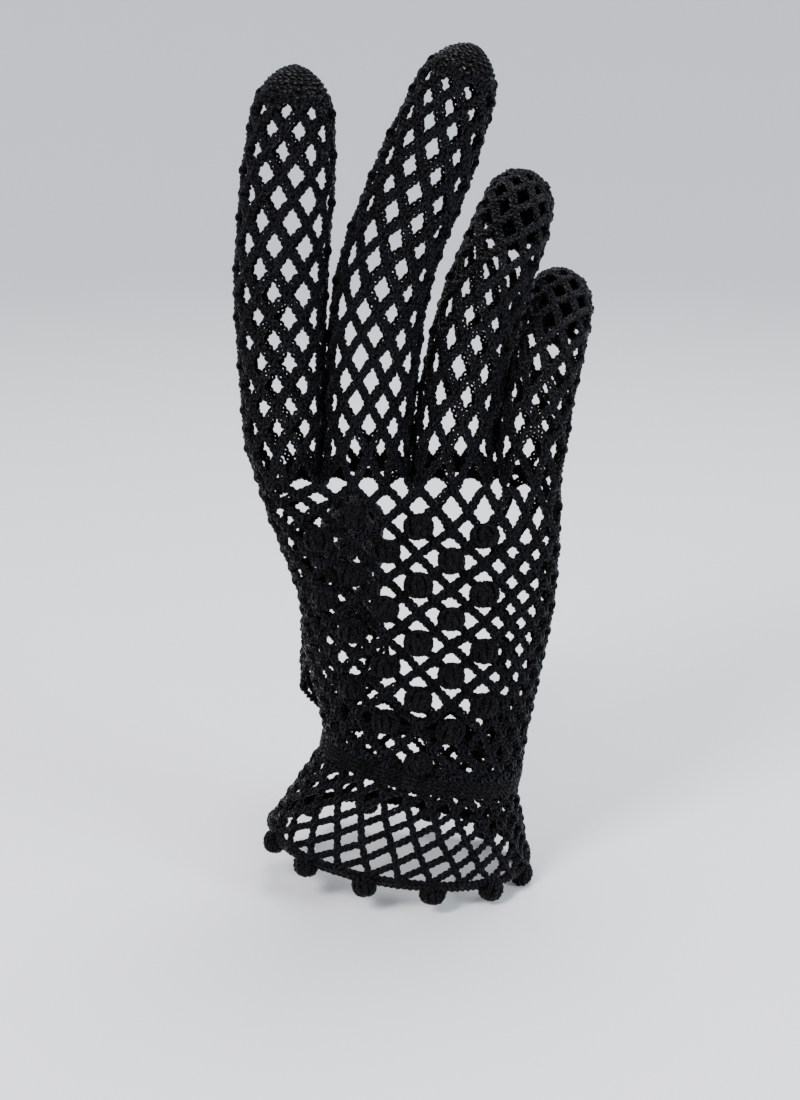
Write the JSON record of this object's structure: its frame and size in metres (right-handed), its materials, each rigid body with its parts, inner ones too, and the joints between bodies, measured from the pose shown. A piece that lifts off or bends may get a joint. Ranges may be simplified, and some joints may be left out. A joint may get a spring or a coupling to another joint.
{
  "type": "crocheted lace glove",
  "caption": "Full-fingered crocheted lace glove in its worn shape, with popcorn stitches on the back, a snug wrist band and a flared cuff edged with bobbles.",
  "frame": {"origin": "centre of the wrist opening, in the plane of the cuff's edge", "axes": "+Z from the cuff to the fingertips, -Y out of the back of the hand, +Y out of the palm, -X towards the index finger"},
  "size_m": [0.0872, 0.1053, 0.2065],
  "materials": {
    "crochet_net": "matt mercerised cotton, open chain-stitch net",
    "dense_crochet": "matt mercerised cotton, dense raised stitches",
    "elastic": "covered elastic thread"
  },
  "bodies": {
    "hand": {"cuff_net": "crochet_net", "cuff_edging": "dense_crochet", "edge_bobbles": "dense_crochet", "wrist_band": "dense_crochet", "wrist_elastic": "elastic", "back_net": "crochet_net", "palm_net": "crochet_net", "knuckle_round": "crochet_net", "back_popcorns": "dense_crochet", "web_index_middle": "crochet_net", "web_middle_ring": "crochet_net", "web_ring_little": "crochet_net", "thumb_gusset": "crochet_net", "index_base_flex": "crochet_net", "middle_base_flex": "crochet_net", "ring_base_flex": "crochet_net", "little_base_flex": "crochet_net", "thumb_base_flex": "crochet_net"},
    "index_lower": {"index_lower_stall": "crochet_net", "index_middle_flex": "crochet_net"},
    "index_middle": {"index_middle_stall": "crochet_net", "index_tip_flex": "crochet_net"},
    "index_upper": {"index_upper_stall": "crochet_net", "index_tip_rosette": "dense_crochet"},
    "middle_lower": {"middle_lower_stall": "crochet_net", "middle_middle_flex": "crochet_net"},
    "middle_middle": {"middle_middle_stall": "crochet_net", "middle_tip_flex": "crochet_net"},
    "middle_upper": {"middle_upper_stall": "crochet_net", "middle_tip_rosette": "dense_crochet"},
    "ring_lower": {"ring_lower_stall": "crochet_net", "ring_middle_flex": "crochet_net"},
    "ring_middle": {"ring_middle_stall": "crochet_net", "ring_tip_flex": "crochet_net"},
    "ring_upper": {"ring_upper_stall": "crochet_net", "ring_tip_rosette": "dense_crochet"},
    "little_lower": {"little_lower_stall": "crochet_net", "little_middle_flex": "crochet_net"},
    "little_middle": {"little_middle_stall": "crochet_net", "little_tip_flex": "crochet_net"},
    "little_upper": {"little_upper_stall": "crochet_net", "little_tip_rosette": "dense_crochet"},
    "thumb_lower": {"thumb_lower_stall": "crochet_net", "thumb_tip_flex": "crochet_net"},
    "thumb_upper": {"thumb_upper_stall": "crochet_net", "thumb_tip_rosette": "dense_crochet"}
  },
  "joints": [
    {"name": "index_base_bend", "type": "hinge", "parent": "hand", "child": "index_lower", "pos_m": [-0.02788, 0.00004, 0.106], "axis": [-0.9998, 0, -0.0175], "range_deg": [-10, 75], "deforming": ["index_base_flex"]},
    {"name": "index_middle_bend", "type": "hinge", "parent": "index_lower", "child": "index_middle", "pos_m": [-0.02865, 0.00072, 0.14098], "axis": [-0.9998, 0, 0.0175], "range_deg": [-5, 85], "deforming": ["index_middle_flex"]},
    {"name": "index_tip_bend", "type": "hinge", "parent": "index_middle", "child": "index_upper", "pos_m": [-0.02679, 0.00204, 0.16687], "axis": [-0.9994, 0, 0.0349], "range_deg": [-3, 51], "deforming": ["index_tip_flex"]},
    {"name": "middle_base_bend", "type": "hinge", "parent": "hand", "child": "middle_lower", "pos_m": [-0.00774, 0.00004, 0.106], "axis": [-0.9976, 0, 0.0698], "range_deg": [-10, 75], "deforming": ["middle_base_flex"]},
    {"name": "middle_middle_bend", "type": "hinge", "parent": "middle_lower", "child": "middle_middle", "pos_m": [-0.00439, 0.0008, 0.14279], "axis": [-0.9703, 0, 0.2419], "range_deg": [-5, 85], "deforming": ["middle_middle_flex"]},
    {"name": "middle_tip_bend", "type": "hinge", "parent": "middle_middle", "child": "middle_upper", "pos_m": [0.00556, 0.00274, 0.16993], "axis": [-0.9397, 0, 0.342], "range_deg": [-3, 51], "deforming": ["middle_tip_flex"]},
    {"name": "ring_base_bend", "type": "hinge", "parent": "hand", "child": "ring_lower", "pos_m": [0.01317, 0.00071, 0.10595], "axis": [-0.9848, 0, 0.1736], "range_deg": [-15, 52], "deforming": ["ring_base_flex"]},
    {"name": "ring_middle_bend", "type": "hinge", "parent": "ring_lower", "child": "ring_middle", "pos_m": [0.01925, 0.0106, 0.13341], "axis": [-0.9703, 0, 0.2419], "range_deg": [-20, 52], "deforming": ["ring_middle_flex"]},
    {"name": "ring_tip_bend", "type": "hinge", "parent": "ring_middle", "child": "ring_upper", "pos_m": [0.02751, 0.02919, 0.15089], "axis": [-0.9659, 0, 0.2588], "range_deg": [-12, 31.2], "deforming": ["ring_tip_flex"]},
    {"name": "little_base_bend", "type": "hinge", "parent": "hand", "child": "little_lower", "pos_m": [0.03187, 0.00148, 0.10481], "axis": [-0.9816, 0, 0.1908], "range_deg": [-20, 36], "deforming": ["little_base_flex"]},
    {"name": "little_middle_bend", "type": "hinge", "parent": "little_lower", "child": "little_middle", "pos_m": [0.0366, 0.01606, 0.12287], "axis": [-0.9703, 0, 0.2419], "range_deg": [-15, 50], "deforming": ["little_middle_flex"]},
    {"name": "little_tip_bend", "type": "hinge", "parent": "little_middle", "child": "little_upper", "pos_m": [0.04027, 0.0339, 0.13075], "axis": [-0.9659, 0, 0.2588], "range_deg": [-9, 30], "deforming": ["little_tip_flex"]},
    {"name": "thumb_base_bend", "type": "hinge", "parent": "hand", "child": "thumb_lower", "pos_m": [-0.01527, 0.03234, 0.05136], "axis": [-0.3826, 0.3434, -0.8577], "range_deg": [-10, 40], "deforming": ["thumb_base_flex"]},
    {"name": "thumb_tip_bend", "type": "hinge", "parent": "thumb_lower", "child": "thumb_upper", "pos_m": [-0.01463, 0.05376, 0.05965], "axis": [-0.3826, 0.3434, -0.8577], "range_deg": [-10, 60], "deforming": ["thumb_tip_flex"]}
  ],
  "couplings": [
    {"joint": "index_tip_bend", "follows": "index_middle_bend", "ratio": 0.6},
    {"joint": "middle_tip_bend", "follows": "middle_middle_bend", "ratio": 0.6},
    {"joint": "ring_tip_bend", "follows": "ring_middle_bend", "ratio": 0.6},
    {"joint": "little_tip_bend", "follows": "little_middle_bend", "ratio": 0.6}
  ]
}
